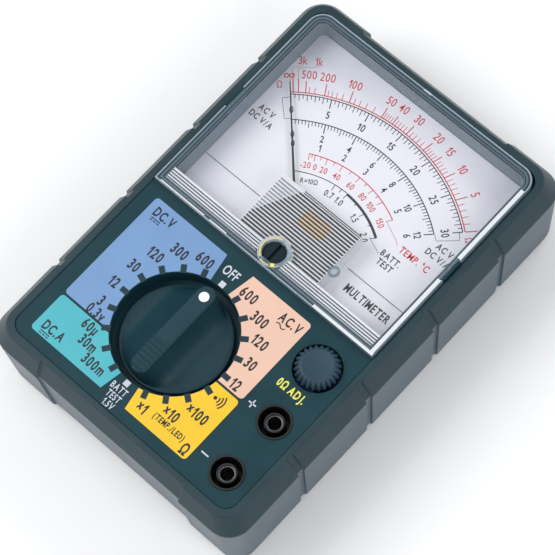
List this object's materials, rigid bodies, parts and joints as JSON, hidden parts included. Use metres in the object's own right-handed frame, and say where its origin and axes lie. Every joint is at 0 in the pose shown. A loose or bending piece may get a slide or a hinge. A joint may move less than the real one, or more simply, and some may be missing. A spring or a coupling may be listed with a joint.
{
  "type": "analog multimeter",
  "caption": "Pocket analog multimeter: dark case with a raised rim, clear cover over a pointer dial, rotary range knob, zero-ohm adjuster and plug jacks.",
  "frame": {"origin": "centre of the flat back face", "axes": "+Z out of the face, +Y from the range knob towards the dial, +X to the reader's right; the meter lies on its back"},
  "size_m": [0.095, 0.141, 0.039],
  "materials": {
    "case_green": "fine moulded texture",
    "rim_rubber": "soft moulded rim, fine texture",
    "rear_grey": "moulded, satin",
    "steel": "zinc plated",
    "clear_cover": "clear moulded polycarbonate",
    "ribbed_clear": "clear moulded, ribbed",
    "dial_white": "matt white paint",
    "pointer_black": "matt black",
    "brass": "plain",
    "nickel": "nickel-plated brass",
    "bronze": "plain",
    "copper": "enamelled copper wire",
    "soft_iron": "plated",
    "magnet": "ground",
    "inner_black": "moulded",
    "screw_black": "moulded",
    "knob_green": "fine moulded texture",
    "white": "moulded insert",
    "ivory": "moulded",
    "wire_beige": "enamelled wire, fine winding",
    "board_green": "solder mask",
    "resistor_blue": "lacquered",
    "fuse_glass": "clear",
    "pot_blue": "moulded",
    "jack_black": "moulded",
    "cell_blue": "plain sleeve",
    "label_blue": "printed",
    "label_teal": "printed",
    "label_pink": "printed",
    "label_yellow": "printed"
  },
  "bodies": {
    "case": {"front_case": "case_green", "front_bumper": "rim_rubber", "rear_case": "rear_grey", "case_screws": "steel", "meter_cover": "clear_cover", "movement_cover": "ribbed_clear", "dial_plate": "dial_white", "lower_hairspring": "bronze", "upper_jewel_screw": "brass", "lower_jewel_screw": "brass", "upper_bridge": "steel", "lower_bridge": "steel", "iron_yoke": "soft_iron", "core_magnet": "magnet", "core_clamps": "brass", "movement_frame": "inner_black", "movement_screws": "steel", "damping_coil": "wire_beige", "switch_pads": "brass", "circuit_board": "board_green", "board_screws": "steel", "range_resistors": "resistor_blue", "buzzer": "inner_black", "fuse_glass": "fuse_glass", "fuse_caps": "steel", "fuse_clips": "brass", "adjust_pot": "pot_blue", "jack_housing_plus": "jack_black", "jack_housing_minus": "jack_black", "jack_socket_plus": "nickel", "jack_socket_minus": "nickel", "battery_1": "cell_blue", "battery_2": "cell_blue", "battery_holder": "inner_black", "battery_springs": "steel", "battery_plates": "steel", "holder_screws": "steel", "label_dc_volts": "label_blue", "label_dc_amps": "label_teal", "label_ac_volts": "label_pink", "label_ohms": "label_yellow"},
    "needle": {"pointer": "pointer_black", "pointer_weights": "brass", "moving_coil": "copper", "coil_arbor": "steel"},
    "lever": {"zero_lever": "brass", "upper_hairspring": "bronze"},
    "zero_adjuster": {"zero_screw": "screw_black"},
    "knob": {"range_knob": "knob_green", "knob_dot": "white", "knob_screw": "steel", "switch_rotor": "ivory", "switch_wipers": "brass", "detent_balls": "steel", "detent_springs": "steel"},
    "ohm_adjuster": {"adjust_knob": "knob_green", "adjust_shaft": "steel"}
  },
  "joints": [
    {"name": "range_knob_turn", "type": "hinge", "parent": "case", "child": "knob", "pos_m": [-0.0048, -0.0365, 0.03], "axis": [0, 0, 1], "continuous": true},
    {"name": "needle_swing", "type": "hinge", "parent": "case", "child": "needle", "pos_m": [0, 0.0079, 0.028], "axis": [0, 0, -1], "range_deg": [-3, 92], "stiffness_Nm_per_rad": 0.000006},
    {"name": "zero_screw_turn", "type": "hinge", "parent": "case", "child": "zero_adjuster", "pos_m": [0, -0.0005, 0.033], "axis": [0, 0, 1], "range_deg": [-45, 45]},
    {"name": "zero_lever_swing", "type": "hinge", "parent": "case", "child": "lever", "pos_m": [0, 0.0079, 0.0308], "axis": [0, 0, 1], "range_deg": [-4.6, 4.6]},
    {"name": "ohm_adjust_turn", "type": "hinge", "parent": "case", "child": "ohm_adjuster", "pos_m": [0.0322, -0.018, 0.033], "axis": [0, 0, 1], "range_deg": [-150, 150]}
  ],
  "couplings": [
    {"joint": "zero_lever_swing", "follows": "zero_screw_turn", "ratio": 0.0987}
  ]
}
